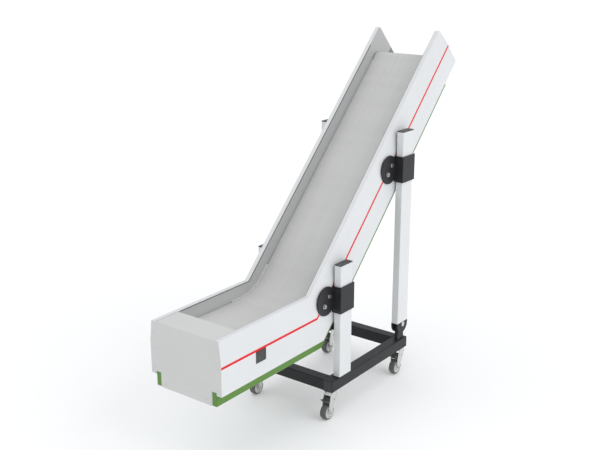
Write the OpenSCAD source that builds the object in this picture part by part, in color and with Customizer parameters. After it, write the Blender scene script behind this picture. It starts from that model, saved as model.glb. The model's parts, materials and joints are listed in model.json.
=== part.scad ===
// Swan-neck belt conveyor section on a height-adjustable stand with castors.
// X runs the way the belt carries, Y runs across the belt, Z is up.
// The origin is on the floor, on the centre plane, midway along the machine.
// Every point of the conveyor is placed by two numbers: s, the distance up the climb from the
// bend in the top flange, and depth, the distance below the top flange, square to it.

/* [Conveyor body] */
// Slope of the climb, in degrees
slope = 45; // [42:1:50]
// Length of the flat infeed, from the nose to the bend in the top flange
infeed_len = 642; // [540:1:780]
// Length of the climb, from the bend in the top flange to the discharge end
climb_len = 1634; // [1360:1:1965]
// Height of the infeed's top flange above the floor
infeed_height = 676; // [640:1:760]
// Height of the side panels, square to the belt
panel_height = 255; // [240:1:306]
// Width over the two side panels
body_width = 420; // [350:1:510]
// Distance from a side panel's outer skin to its inner skin
side_thickness = 36; // [32:1:44]
// Thickness of the folded sheet
sheet = 2; // [1.5:0.5:3]
// Depth over which the outer skin leans in below the top flange
lean_depth = 98; // [80:1:110]
// How far the outer skin leans in at the top
lean_in = 12; // [8:1:14]
// Corner radius at the discharge end
tip_radius = 12; // [8:1:18]
// Depth of the inner skin, past the return belt
inner_skin_depth = 176; // [170:1:200]

/* [Trim] */
// Depth of the middle of the side stripe
stripe_depth = 122; // [115:1:135]
// Width of the side stripe
stripe_width = 12; // [8:1:18]
// Thickness of the side stripe
stripe_t = 0.3; // [0.2:0.1:0.4]
// Depth of the top of the keel rails
rail_depth = 242; // [230:1:246]
// Height of the keel rails
rail_height = 68; // [60:1:80]
// Width of the keel rails
rail_width = 29; // [24:1:34]
// Inset of the keel rails from the outer skin
rail_inset = 29; // [24:1:32]
// Where the keel rails end on the climb
rail_end = 1510; // [1250:1:1800]
// Length of the hood over the tail roller
hood_len = 145; // [130:1:180]
// Depth of the lips of the hood
hood_lip = 40; // [20:1:55]
// Distance of the access plug from the nose
plug_x = 232; // [200:1:300]
// Length of the access plug
plug_len = 68; // [50:1:80]
// Height of the access plug
plug_height = 56; // [40:1:62]
// Thickness of the access plug
plug_t = 2.5; // [2:0.5:4]

/* [Belt] */
// Width of the belt
belt_width = 336; // [270:1:426]
// Thickness of the belt
belt_t = 2.5; // [2:0.5:4]
// Depth of the belt's carrying face below the top flange
belt_depth = 70; // [60:1:75]
// Radius of the carrying face where it turns up at the bend
belt_bend_radius = 250; // [200:1:300]
// Inner radius of the belt where it wraps the two end rollers
wrap_radius = 42.5; // [38:0.5:45]
// Inner radius of the belt where it wraps the return roller
return_radius = 30; // [24:1:32]
// Distance of the tail roller from the nose
tail_x = 75; // [65:1:85]
// Distance of the drum from the discharge end, along the climb
drum_setback = 141; // [120:1:170]
// Radial gap between a roller and the belt
roller_gap = 0.3; // [0.2:0.1:0.5]
// Width of a roller's face
roller_width = 342; // [275:1:430]
// Wall of the rollers
roller_wall = 4; // [3:0.5:6]
// Radius of the drum's fixed shaft
drum_shaft_r = 15; // [12:0.5:18]
// Radius of the idler shafts
idler_shaft_r = 10; // [8:0.5:12]
// Radial running clearance of every bore on its shaft
running = 0.05; // [0.02:0.01:0.09]
// Length of the motor inside the drum
motor_len = 240; // [200:1:260]
// Travel of the belt take-up, each way
take_up = 15; // [10:1:20]

/* [Pivots and clamps] */
// Distance of the front pivot up the climb
front_pivot_s = 46; // [40:1:60]
// Distance between the front and rear pivots
pivot_spacing = 771; // [680:1:925]
// Diameter of the pivot discs
disc_d = 147; // [130:1:160]
// Thickness of the pivot discs
disc_t = 6; // [5:0.5:8]
// Gap between a side panel and a pivot disc
disc_gap = 0.6; // [0.5:0.1:1]
// Distance of each pivot bolt from its pivot
bolt_ring_r = 29; // [26:1:34]
// Radius of the pivot bolts
bolt_r = 6; // [5:0.5:7]
// Half of the sweep of the arc slots, in degrees
slot_sweep = 5; // [4:0.5:8]
// Distance from a pivot to the front wall of its clamp box
box_offset = 52; // [48:1:60]
// Height of the clamp boxes
box_height = 136; // [115:1:160]
// Distance of the clamp boxes' centre below the pivot
box_drop = 5; // [0:1:12]
// Wall of the clamp boxes, along X
box_wall = 3; // [2.5:0.5:4]
// Outer wall of the clamp boxes, along Y
box_cheek = 6; // [5:0.5:8]
// Gap between column and clamp box along X, which the rear column's lean uses
sleeve_gap_x = 4.5; // [4.2:0.1:6]
// Gap between column and clamp box along Y
sleeve_gap_y = 0.7; // [0.5:0.1:1]
// Radius of the clamp screws
clamp_screw_r = 6; // [5:0.5:8]

/* [Stand] */
// Size of the columns along X
column_x = 100; // [84:1:120]
// Size of the columns along Y
column_y = 40; // [34:1:48]
// Wall of the columns
column_wall = 3; // [2:0.5:4]
// Height of the top of the front columns above the floor
front_column_top = 795; // [780:1:950]
// Height of the top of the rear columns above the floor
rear_column_top = 1360; // [1340:1:1630]
// Thickness of the column caps
cap_t = 5; // [4:0.5:8]
// Size of the square base tube
base_tube = 60; // [50:1:66]
// Wall of the base tube
base_wall = 3; // [2:0.5:4]
// Distance from the base to the bottom of the rear columns
foot_lift = 103; // [95:1:120]
// Drop from the bottom of the rear columns to their foot pins
foot_pin_drop = 13; // [12:0.5:20]
// Radius of the rear foot pins
foot_pin_r = 8; // [6:0.5:10]
// Thickness of the lugs on the base
lug_t = 20; // [16:1:24]
// Width of the lugs on the base
lug_width = 64; // [50:1:76]
// Gap between a lug and the cheeks of its foot
lug_gap = 0.4; // [0.3:0.1:0.6]

/* [Castors] */
// Diameter of the castor wheels
wheel_d = 80; // [70:1:84]
// Width of the tyres
tyre_width = 34; // [28:1:38]
// Depth of the tyre over its rim
tyre_depth = 10; // [8:1:12]
// Overall height of a castor
castor_height = 145; // [140:1:160]
// Trail of the wheel behind the swivel axis
trail = 36; // [30:1:40]
// Radius of the castor stem bolts
stem_r = 6; // [5:0.5:8]
// Radius of the wheel axles
axle_r = 5; // [4:0.5:6]
// Thickness of the fork's legs
leg_t = 3; // [2.5:0.5:4]
// Radius of the pedal's hinge pin
pedal_pin_r = 3; // [2.5:0.5:4]

/* [Hidden] */
$fn = 48;
cut = 1;                                    // how far a cutter runs past what it cuts
reach = 420;                                // deeper than anything on the conveyor
fit_gap = 0.3;                              // gap between pieces that sit side by side
half_body = body_width / 2;
inner_face = half_body - side_thickness;    // inner skin, on the trough's side
belt_inner_depth = belt_depth + belt_t;
roller_depth = belt_inner_depth + wrap_radius;
return_depth = roller_depth + wrap_radius;
drum_s = climb_len - drum_setback;
bed_t = sheet;
bar_height = 25;
bar_width = 30;
half_disc = half_body + disc_gap;           // inner face of a pivot disc
column_in = half_disc + disc_t + sleeve_gap_y;
column_out = column_in + column_y;
box_out = column_out + sleeve_gap_y + box_cheek;
column_offset = box_offset + box_wall + sleeve_gap_x;
base_top = castor_height + base_tube;
foot_top = base_top + foot_lift;
foot_pivot_z = foot_top - foot_pin_drop;
fork_gap = tyre_width / 2 + 3;              // centre of the castor to the inside of a leg
crown_top = castor_height - 4.4;
crown_t = 9;
pedal_x = -6;
pedal_z = wheel_d + 22;

function along(s, depth) = [
    infeed_len + s * cos(slope) + depth * sin(slope),
    infeed_height + s * sin(slope) - depth * cos(slope)
];
function bend_at(depth) = [infeed_len + depth * tan(slope / 2), infeed_height - depth];
function flat_at(x, depth) = [x, infeed_height - depth];

// The lower corner of the discharge end is the furthest point from the nose.
overall_length = along(climb_len - tip_radius, panel_height - tip_radius)[0] + tip_radius;
nose_x = -overall_length / 2;
front_pivot = along(front_pivot_s, stripe_depth);
rear_pivot = along(front_pivot_s + pivot_spacing, stripe_depth);
front_column_at = front_pivot[0] + column_offset;
rear_column_at = rear_pivot[0] + column_offset;
base_front = front_column_at - base_tube;
base_rear = rear_column_at + column_x;
foot_pivot_x = rear_column_at + column_x / 2;
bed_start = tail_x + 30;
bed_end = drum_s - 30;
return_roller_at = bend_at(return_depth - return_radius);
tail_at = flat_at(tail_x, roller_depth);
drum_at = along(drum_s, roller_depth);

// Castor stem positions: x, y
castor_inset = base_tube / 2;
castor_y = column_out - castor_inset;
FRONT_RIGHT = [base_front + castor_inset, -castor_y];
FRONT_LEFT = [base_front + castor_inset, castor_y];
REAR_RIGHT = [base_rear - castor_inset, -castor_y];
REAR_LEFT = [base_rear - castor_inset, castor_y];
CASTORS = [FRONT_RIGHT, FRONT_LEFT, REAR_RIGHT, REAR_LEFT];

// ---- placing ----

// Moves a drawing measured from the nose into the machine's frame.
module from_nose() translate([nose_x, 0, 0]) children();

// Stands a drawing in X and Z upright, from y0 to y1.
module upright(y0, y1)
    translate([0, y1, 0]) rotate([90, 0, 0]) linear_extrude(y1 - y0) children();

// The right-hand side faces -Y. The left-hand side is its mirror image.
module left_side() mirror([0, 1, 0]) children();

module both_sides() {
    children();
    left_side() children();
}

// A cylinder across the machine, centred at a point of the side view.
module across(at, r, y0, y1) upright(y0, y1) translate(at) circle(r);

// A hollow square-cut tube between two corners, open along the axis named.
module box_tube(from, size, wall, axis) {
    hole = [for (i = [0:2]) i == axis ? size[i] + 2 * cut : size[i] - 2 * wall];
    start = [for (i = [0:2]) i == axis ? from[i] - cut : from[i] + wall];
    difference() {
        translate(from) cube(size);
        translate(start) cube(hole);
    }
}

// ---- shapes that follow the bend ----

// The strip between two depths, from x_start on the infeed to s_end on the climb.
module band(x_start, s_end, d0, d1)
    polygon([
        flat_at(x_start, d0), bend_at(d0), along(s_end, d0),
        along(s_end, d1), bend_at(d1), flat_at(x_start, d1)
    ]);

// Sweeps a section, drawn in Y and minus depth, along the infeed and up the climb.
module follow_bend(x_start, s_end) {
    over = reach * tan(slope / 2);
    intersection() {
        translate([x_start, 0, infeed_height]) rotate([90, 0, 90])
            linear_extrude(infeed_len + over - x_start) children();
        upright(-body_width, body_width)
            polygon([
                flat_at(x_start - cut, -cut), bend_at(-cut),
                bend_at(reach), flat_at(x_start - cut, reach)
            ]);
    }
    intersection() {
        translate([infeed_len, 0, infeed_height]) rotate([0, -slope, 0]) rotate([90, 0, 90])
            translate([0, 0, -over]) linear_extrude(over + s_end) children();
        upright(-body_width, body_width)
            polygon([
                bend_at(-cut), along(s_end + cut, -cut),
                along(s_end + cut, reach), bend_at(reach)
            ]);
    }
}

// Points of an arc round a centre, from angle a0 to a1, about one every three degrees.
function arc(centre, r, a0, a1) =
    let (steps = ceil(abs(a1 - a0) / 3))
    [for (i = [0:steps]) centre + r * [cos(a0 + (a1 - a0) * i / steps), sin(a0 + (a1 - a0) * i / steps)]];

// A strip of the carrying run between two depths, with its radius at the bend.
bend_centre = bend_at(belt_depth - belt_bend_radius);
bend_end_s = (belt_bend_radius - belt_depth) * tan(slope / 2);
module bed_strip(x_start, s_end, d0, d1)
    polygon(concat(
        [flat_at(x_start, d0)],
        arc(bend_centre, belt_bend_radius + d0 - belt_depth, -90, slope - 90),
        [along(s_end, d0), along(s_end, d1)],
        arc(bend_centre, belt_bend_radius + d1 - belt_depth, slope - 90, -90),
        [flat_at(x_start, d1)]
    ));

// ---- conveyor body ----

module panel_section() {
    top_in = half_body - lean_in;
    lip_in = half_body - rail_inset + fit_gap;
    bottom = -panel_height;
    polygon([
        [-half_body, bottom], [-half_body, -lean_depth], [-top_in, 0], [-inner_face, 0],
        [-inner_face, -inner_skin_depth], [-inner_face - sheet, -inner_skin_depth],
        [-inner_face - sheet, -sheet], [-top_in + sheet, -sheet],
        [-half_body + sheet, -lean_depth], [-half_body + sheet, bottom + sheet],
        [-lip_in, bottom + sheet], [-lip_in, bottom]
    ]);
}

// The panel's outline between its two skins, closing its discharge end.
module panel_end_section() {
    top_in = half_body - lean_in;
    polygon([
        [-half_body, -panel_height], [-half_body, -lean_depth], [-top_in, 0], [-inner_face, 0],
        [-inner_face, -panel_height]
    ]);
}

// Takes the corners off the discharge end, seen from the side.
module tip_corners(depth_side) {
    depth = depth_side == 0 ? tip_radius : panel_height - tip_radius;
    outer = depth_side == 0 ? -cut : panel_height + cut;
    upright(-body_width, 0)
        difference() {
            polygon([
                along(climb_len - tip_radius, depth), along(climb_len + cut, depth),
                along(climb_len + cut, outer), along(climb_len - tip_radius, outer)
            ]);
            translate(along(climb_len - tip_radius, depth)) circle(tip_radius);
        }
}

module side_panel() {
    shaft_side = [-inner_face - sheet - cut, -inner_face + cut];
    difference() {
        union() {
            follow_bend(sheet, climb_len) panel_section();
            intersection() {
                follow_bend(sheet, climb_len) panel_end_section();
                upright(-body_width, 0)
                    polygon([
                        along(climb_len - sheet, -cut), along(climb_len + cut, -cut),
                        along(climb_len + cut, reach), along(climb_len - sheet, reach)
                    ]);
            }
        }
        tip_corners(0);
        tip_corners(1);
        across(drum_at, drum_shaft_r, shaft_side[0], shaft_side[1]);
        across(return_roller_at, idler_shaft_r, shaft_side[0], shaft_side[1]);
        for (dx = [-take_up, take_up])
            across(tail_at + [dx, 0], idler_shaft_r, shaft_side[0], shaft_side[1]);
        upright(shaft_side[0], shaft_side[1])
            translate(tail_at) square([2 * take_up, 2 * idler_shaft_r], center = true);
        for (pivot = [front_pivot, rear_pivot], side = [-1, 1])
            across(bolt_point(pivot, side), bolt_r, -half_body - cut, -half_body + sheet + cut);
    }
}

module side_panel_right() color([0.89, 0.90, 0.91]) from_nose() side_panel();
module side_panel_left() color([0.89, 0.90, 0.91]) from_nose() left_side() side_panel();

module side_stripes()
    color([0.84, 0.12, 0.17]) from_nose() both_sides()
        upright(-half_body - stripe_t, -half_body)
            difference() {
                band(sheet, climb_len - cut, stripe_depth - stripe_width / 2,
                    stripe_depth + stripe_width / 2);
                for (pivot = [front_pivot, rear_pivot])
                    translate(pivot) circle(disc_d / 2 + 2);
            }

module green_rail() {
    outer = -half_body + rail_inset;
    end_wall = 2;
    difference() {
        follow_bend(sheet, rail_end)
            translate([outer, -rail_depth - rail_height]) square([rail_width, rail_height]);
        follow_bend(sheet + end_wall, rail_end - end_wall)
            translate([outer + sheet, -rail_depth - rail_height + sheet])
                square([rail_width - 2 * sheet, rail_height - 2 * sheet]);
    }
}

module green_rail_right() color([0.30, 0.50, 0.17]) from_nose() green_rail();
module green_rail_left() color([0.30, 0.50, 0.17]) from_nose() left_side() green_rail();

// Seen from the infeed: narrower at the top, notched round the rails, a tongue between them.
tongue_depth = rail_depth + rail_height + 2;
module cover_outline() {
    top_in = half_body - lean_in;
    rail_out = half_body - rail_inset;
    rail_in = rail_out - rail_width;
    right_half = [
        [-top_in, infeed_height], [-half_body, infeed_height - lean_depth],
        [-half_body, infeed_height - panel_height], [-rail_out, infeed_height - panel_height],
        [-rail_out, infeed_height - rail_depth + fit_gap],
        [-rail_in, infeed_height - rail_depth + fit_gap], [-rail_in, infeed_height - tongue_depth]
    ];
    left_half = [for (i = [len(right_half) - 1:-1:0]) [-right_half[i][0], right_half[i][1]]];
    polygon(concat(right_half, left_half));
}

// Screws of the front cover: y, depth
screw_side_y = half_body - 18;
screw_low_y = half_body - 89;
screw_top_depth = 58;
screw_mid_depth = 131;
screw_low_depth = rail_depth - 15;
screw_tongue_depth = rail_depth + rail_height * 0.7;
cover_screw_r = 3;
COVER_SCREWS = [
    for (depth = [screw_top_depth, screw_mid_depth, screw_low_depth], side = [-1, 1])
        [side * screw_side_y, depth],
    for (side = [-1, 0, 1]) [side * screw_low_y, screw_tongue_depth]
];

module front_cover()
    color([0.77, 0.765, 0.755]) from_nose()
        difference() {
            rotate([90, 0, 90]) linear_extrude(sheet) cover_outline();
            for (at = COVER_SCREWS)
                translate([-cut, at[0], infeed_height - at[1]]) rotate([0, 90, 0])
                    cylinder(r = cover_screw_r - 1, h = sheet + 2 * cut);
        }

// Small pan-head screws: those of the front cover, and one inside each tip of the side panels.
tip_screw_at = along(climb_len - 48, 16);
screw_head_t = 1.2;
module sheet_screws()
    color([0.55, 0.55, 0.55]) from_nose() {
        for (at = COVER_SCREWS)
            translate([0, at[0], infeed_height - at[1]]) rotate([0, 90, 0]) {
                translate([0, 0, -screw_head_t]) cylinder(r = cover_screw_r, h = screw_head_t);
                cylinder(r = cover_screw_r - 1, h = sheet);
            }
        both_sides()
            across(tip_screw_at, cover_screw_r, -inner_face, -inner_face + screw_head_t);
    }

module infeed_hood() {
    half_hood = inner_face - fit_gap;
    color([0.815, 0.81, 0.80]) from_nose()
        difference() {
            translate([sheet, -half_hood, infeed_height - hood_lip])
                cube([hood_len - sheet, 2 * half_hood, hood_lip]);
            translate([sheet - cut, -half_hood + sheet, infeed_height - hood_lip - cut])
                cube([hood_len - 2 * sheet + cut, 2 * (half_hood - sheet), hood_lip + cut - sheet]);
        }
}

module slider_bed()
    color([0.70, 0.71, 0.72]) from_nose()
        upright(-inner_face, inner_face)
            bed_strip(bed_start, bed_end, belt_inner_depth, belt_inner_depth + bed_t);

// Bars from inner skin to inner skin that carry the slider bed.
bar_top = belt_inner_depth + bed_t;
FLAT_BARS = [bed_start + 60, infeed_len - 150];
CLIMB_BARS = [for (i = [0:3]) bend_end_s + 90 + i * (bed_end - bend_end_s - 150) / 3];
module bed_cross_bars()
    color([0.60, 0.61, 0.62]) from_nose()
        upright(-inner_face, inner_face) {
            for (x = FLAT_BARS)
                polygon([
                    flat_at(x, bar_top), flat_at(x + bar_width, bar_top),
                    flat_at(x + bar_width, bar_top + bar_height), flat_at(x, bar_top + bar_height)
                ]);
            for (s = CLIMB_BARS)
                polygon([
                    along(s, bar_top), along(s + bar_width, bar_top),
                    along(s + bar_width, bar_top + bar_height), along(s, bar_top + bar_height)
                ]);
        }

module bottom_guard()
    color([0.70, 0.71, 0.72]) from_nose()
        upright(-half_body + rail_inset, half_body - rail_inset)
            band(sheet, rail_end, rail_depth - sheet, rail_depth);

// ---- belt and rollers ----

// The belt's loop, grown by t from its inner face: round the tail roller, up the carrying run,
// over the drum, and back round the return roller. The straight runs join one arc to the next.
function belt_loop(t) = concat(
    arc(tail_at, wrap_radius + t, 270, 90),
    arc(bend_centre, belt_bend_radius + belt_t - t, -90, slope - 90),
    arc(drum_at, wrap_radius + t, slope + 90, slope - 90),
    arc(return_roller_at, return_radius + t, slope - 90, -90)
);

module belt()
    color([0.745, 0.74, 0.735]) from_nose()
        upright(-belt_width / 2, belt_width / 2)
            difference() {
                polygon(belt_loop(belt_t));
                polygon(belt_loop(0));
            }

// Strips beside the belt at the bend, with a lip that keeps its edges down.
module hold_down_guides() {
    lip_over = 4;
    above = 7;
    margin = 60;
    half_belt = belt_width / 2;
    start = bend_centre[0] - margin;
    finish = bend_end_s + margin;
    color([0.80, 0.80, 0.80]) from_nose() both_sides() {
        upright(-inner_face, -half_belt - fit_gap)
            bed_strip(start, finish, belt_depth - above, belt_inner_depth);
        upright(-half_belt - fit_gap, -half_belt + lip_over)
            bed_strip(start, finish, belt_depth - above, belt_depth - 1);
    }
}

// A roller with closed ends, bored for its fixed shaft.
module roller(at, r, shaft_r) {
    end_t = 12;
    half = roller_width / 2;
    bore = shaft_r + running;
    translate([at[0], 0, at[1]]) rotate([90, 0, 0])
        rotate_extrude()
            polygon([
                [bore, -half], [r, -half], [r, half], [bore, half],
                [bore, half - end_t], [r - roller_wall, half - end_t],
                [r - roller_wall, -half + end_t], [bore, -half + end_t]
            ]);
}

module tail_roller()
    color([0.75, 0.76, 0.77]) from_nose() roller(tail_at, wrap_radius - roller_gap, idler_shaft_r);
module drive_drum()
    color([0.75, 0.76, 0.77]) from_nose() roller(drum_at, wrap_radius - roller_gap, drum_shaft_r);
module return_roller()
    color([0.75, 0.76, 0.77]) from_nose()
        roller(return_roller_at, return_radius - roller_gap, idler_shaft_r);

block_t = 12;
block_size = 50;
shaft_end = inner_face + sheet + block_t;
module idler_shafts()
    color([0.65, 0.66, 0.67]) from_nose() {
        across(tail_at, idler_shaft_r, -shaft_end, shaft_end);
        across(return_roller_at, idler_shaft_r, -shaft_end, shaft_end);
    }

// Blocks that carry the ends of the tail shaft and slide to tension the belt.
screw_r = 4;
screw_len = 60;
module take_up_blocks()
    color([0.35, 0.36, 0.37]) from_nose() both_sides()
        difference() {
            upright(-shaft_end, -inner_face - sheet)
                translate(tail_at) square(block_size, center = true);
            across(tail_at, idler_shaft_r, -shaft_end - cut, -inner_face - sheet + cut);
            translate([tail_at[0] + block_size / 2 - 12, -shaft_end + block_t / 2, tail_at[1]])
                rotate([0, 90, 0]) cylinder(r = screw_r, h = 12 + cut);
        }

module take_up_screws()
    color([0.70, 0.70, 0.70]) from_nose() both_sides()
        translate([tail_at[0] + block_size / 2 - 12, -shaft_end + block_t / 2, tail_at[1]])
            rotate([0, 90, 0]) {
                cylinder(r = screw_r, h = screw_len);
                translate([0, 0, screw_len]) cylinder(r = 5.5, h = 5, $fn = 6);
            }

module drum_shaft()
    color([0.65, 0.66, 0.67]) from_nose() across(drum_at, drum_shaft_r, -shaft_end, shaft_end);

// Motor and gearbox on the fixed shaft, inside the drum.
module drum_motor() {
    motor_r = wrap_radius - roller_gap - roller_wall - 6;
    color([0.30, 0.31, 0.33]) from_nose()
        difference() {
            across(drum_at, motor_r, -motor_len / 2, motor_len / 2);
            across(drum_at, drum_shaft_r, -motor_len / 2 - cut, motor_len / 2 + cut);
        }
}

module drum_brackets() {
    back = 34;
    color([0.35, 0.36, 0.37]) from_nose() both_sides()
        upright(-shaft_end, -inner_face - sheet)
            difference() {
                polygon([
                    along(drum_s - back, roller_depth - back), along(drum_s + back, roller_depth - back),
                    along(drum_s + back, roller_depth + back), along(drum_s - back, roller_depth + back)
                ]);
                translate(drum_at) circle(drum_shaft_r);
            }
}

module access_plug()
    color([0.10, 0.10, 0.11]) from_nose()
        upright(-half_body - plug_t, -half_body)
            translate([plug_x, infeed_height - stripe_depth - stripe_width / 2 - plug_height])
                square([plug_len, plug_height]);

// ---- pivots and clamps ----

function bolt_point(pivot, side) = pivot + side * bolt_ring_r * [cos(slope), sin(slope)];

washer_t = 2.5;
head_t = 7;
nut_t = 9;
module pivot_bolt(at) {
    outside = half_disc + disc_t + fit_gap;
    across(at, bolt_r, -outside - washer_t, -half_body + sheet);
    translate([at[0], -outside, at[1]]) rotate([90, 0, 0]) {
        difference() {
            cylinder(r = bolt_r * 2, h = washer_t);
            translate([0, 0, -cut]) cylinder(r = bolt_r, h = washer_t + 2 * cut);
        }
        translate([0, 0, washer_t]) cylinder(r = bolt_r * 1.6, h = head_t, $fn = 6);
    }
    translate([at[0], -half_body + sheet + nut_t, at[1]]) rotate([90, 0, 0])
        cylinder(r = bolt_r * 1.6, h = nut_t, $fn = 6);
}

module pivot_bolts()
    color([0.78, 0.78, 0.78]) from_nose() both_sides()
        for (pivot = [front_pivot, rear_pivot], side = [-1, 1])
            pivot_bolt(bolt_point(pivot, side));

// A short arc slot round the pivot, for the bolts to move in as the slope is set.
module arc_slot(pivot, side) {
    half_slot = bolt_r + 0.6;
    rise = bolt_ring_r * sin(slot_sweep);
    translate(pivot) rotate(slope + (side < 0 ? 180 : 0)) translate([bolt_ring_r, 0]) {
        for (end = [-rise, rise]) translate([0, end]) circle(half_slot);
        square([2 * half_slot, 2 * rise], center = true);
    }
}

// A pivot disc welded to a box that slides on its column.
module clamp(pivot) {
    box_x = 2 * (box_wall + sleeve_gap_x) + column_x;
    box_z = pivot[1] - box_drop - box_height / 2;
    hole_y = column_y + 2 * sleeve_gap_y;
    difference() {
        union() {
            upright(-half_disc - disc_t, -half_disc) translate(pivot) circle(disc_d / 2);
            translate([pivot[0] + box_offset, -box_out, box_z])
                cube([box_x, box_out - half_disc, box_height]);
        }
        translate([pivot[0] + box_offset + box_wall, -box_out + box_cheek, box_z - cut])
            cube([box_x - 2 * box_wall, hole_y, box_height + 2 * cut]);
        upright(-half_disc - disc_t - cut, -half_disc + cut) {
            arc_slot(pivot, -1);
            arc_slot(pivot, 1);
        }
        for (at = clamp_screw_points(pivot))
            translate(at) rotate([0, 90, 0]) cylinder(r = clamp_screw_r, h = box_wall + 2 * cut);
    }
}

// Two screws through the back wall of each box.
function clamp_screw_points(pivot) = [
    for (dz = [-box_height / 4, box_height / 4]) [
        pivot[0] + box_offset + box_wall + 2 * sleeve_gap_x + column_x - cut,
        -(column_in + column_out) / 2,
        pivot[1] - box_drop + dz
    ]
];

module clamp_screws(pivot) {
    stand_out = 6;
    for (at = clamp_screw_points(pivot))
        translate(at + [cut, 0, 0]) rotate([0, 90, 0]) {
            cylinder(r = clamp_screw_r, h = box_wall + stand_out);
            translate([0, 0, box_wall + stand_out])
                cylinder(r = clamp_screw_r * 1.6, h = head_t, $fn = 6);
        }
}

module front_clamp_right() color([0.13, 0.13, 0.135]) from_nose() clamp(front_pivot);
module front_clamp_left() color([0.13, 0.13, 0.135]) from_nose() left_side() clamp(front_pivot);
module rear_clamp_right() color([0.13, 0.13, 0.135]) from_nose() clamp(rear_pivot);
module rear_clamp_left() color([0.13, 0.13, 0.135]) from_nose() left_side() clamp(rear_pivot);
module front_clamp_screws()
    color([0.60, 0.60, 0.60]) from_nose() both_sides() clamp_screws(front_pivot);
module rear_clamp_screws()
    color([0.60, 0.60, 0.60]) from_nose() both_sides() clamp_screws(rear_pivot);

// ---- stand ----

module base_rail()
    box_tube([base_front, -column_out, castor_height],
        [base_rear - base_front, base_tube, base_tube], base_wall, 0);

module base_rail_right() color([0.16, 0.16, 0.165]) from_nose() base_rail();
module base_rail_left() color([0.16, 0.16, 0.165]) from_nose() left_side() base_rail();

module base_cross(x) {
    half = column_out - base_tube;
    box_tube([x, -half, castor_height], [base_tube, 2 * half, base_tube], base_wall, 1);
}

module base_cross_front() color([0.16, 0.16, 0.165]) from_nose() base_cross(base_front);
module base_cross_rear()
    color([0.16, 0.16, 0.165]) from_nose() base_cross(base_rear - base_tube);

module column(x, z0, z1)
    box_tube([x, -column_out, z0], [column_x, column_y, z1 - z0], column_wall, 2);

module front_column() column(front_column_at, base_top, front_column_top - cap_t);
module rear_column() column(rear_column_at, foot_top, rear_column_top - cap_t);

module front_column_right() color([0.87, 0.88, 0.885]) from_nose() front_column();
module front_column_left() color([0.87, 0.88, 0.885]) from_nose() left_side() front_column();
module rear_column_right() color([0.87, 0.88, 0.885]) from_nose() rear_column();
module rear_column_left() color([0.87, 0.88, 0.885]) from_nose() left_side() rear_column();

// A cap that lies on a column, with a plug inside the tube.
module column_cap(x, top) {
    plug = 12;
    inside = column_wall + 0.1;
    translate([x, -column_out, top - cap_t]) cube([column_x, column_y, cap_t]);
    translate([x + inside, -column_out + inside, top - cap_t - plug])
        cube([column_x - 2 * inside, column_y - 2 * inside, plug]);
}

module front_column_caps()
    color([0.15, 0.15, 0.155]) from_nose() both_sides()
        column_cap(front_column_at, front_column_top);
module rear_column_caps()
    color([0.15, 0.15, 0.155]) from_nose() both_sides()
        column_cap(rear_column_at, rear_column_top);

lug_in = (column_in + column_out) / 2 - lug_t / 2;
lug_out = lug_in + lug_t;

// A lug that stands on the base rail, rounded about the foot's pivot.
module rear_foot_lugs() {
    eye_r = 24;
    color([0.14, 0.14, 0.145]) from_nose() both_sides()
        upright(-lug_out, -lug_in)
            difference() {
                union() {
                    polygon([
                        [foot_pivot_x - lug_width / 2, base_top],
                        [foot_pivot_x + lug_width / 2, base_top],
                        [foot_pivot_x + eye_r, foot_pivot_z], [foot_pivot_x - eye_r, foot_pivot_z]
                    ]);
                    translate([foot_pivot_x, foot_pivot_z]) circle(eye_r);
                }
                translate([foot_pivot_x, foot_pivot_z]) circle(foot_pin_r);
            }
}

module rear_foot_pins() {
    head_r = foot_pin_r * 1.7;
    head = 4;
    at = [foot_pivot_x, foot_pivot_z];
    color([0.62, 0.62, 0.63]) from_nose() both_sides() {
        across(at, foot_pin_r, -column_out - fit_gap, -column_in + fit_gap);
        across(at, head_r, -column_out - fit_gap - head, -column_out - fit_gap);
        across(at, head_r, -column_in + fit_gap, -column_in + fit_gap + 3);
    }
}

// A fork foot: two cheeks, one each side of the lug, welded under the rear column.
module foot_cheek(y0, y1)
    upright(y0, y1)
        difference() {
            union() {
                translate([rear_column_at, foot_pivot_z])
                    square([column_x, foot_top - foot_pivot_z]);
                translate([foot_pivot_x, foot_pivot_z]) circle(column_x / 2);
            }
            translate([rear_column_at - cut, foot_top])
                square([column_x + 2 * cut, column_x]);
            translate([foot_pivot_x, foot_pivot_z]) circle(foot_pin_r + running);
        }

module rear_feet()
    color([0.14, 0.14, 0.145]) from_nose() both_sides() {
        foot_cheek(-column_out, -lug_out - lug_gap);
        foot_cheek(-lug_in + lug_gap, -column_in);
    }

// ---- castors ----

// The fixed top disc under the base, with the bolt that the fork swivels on.
module castor_mounts() {
    disc_r = 27;
    color([0.72, 0.73, 0.73]) from_nose()
        for (at = CASTORS)
            translate([at[0], at[1], 0]) {
                translate([0, 0, crown_top + 0.4])
                    cylinder(r = disc_r, h = castor_height - crown_top - 0.4);
                translate([0, 0, crown_top - crown_t - 0.4])
                    cylinder(r = stem_r, h = castor_height - crown_top + crown_t + 0.4);
                translate([0, 0, crown_top - crown_t - 0.4 - 5])
                    cylinder(r = stem_r * 1.7, h = 5, $fn = 6);
            }
}

// One leg of the fork, from the crown back and down to the axle.
module fork_leg() {
    axle = [-trail, wheel_d / 2];
    eye_r = 13;
    crown_r = 27;
    low = crown_top - crown_t;
    polygon([
        [-crown_r, crown_top], [crown_r - 6, crown_top], [crown_r - 6, low - 12],
        [axle[0] + eye_r * 0.9, axle[1] - eye_r * 0.4], [axle[0] - eye_r, axle[1]],
        [-crown_r - 14, low - 30]
    ]);
    translate(axle) circle(eye_r);
}

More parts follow.
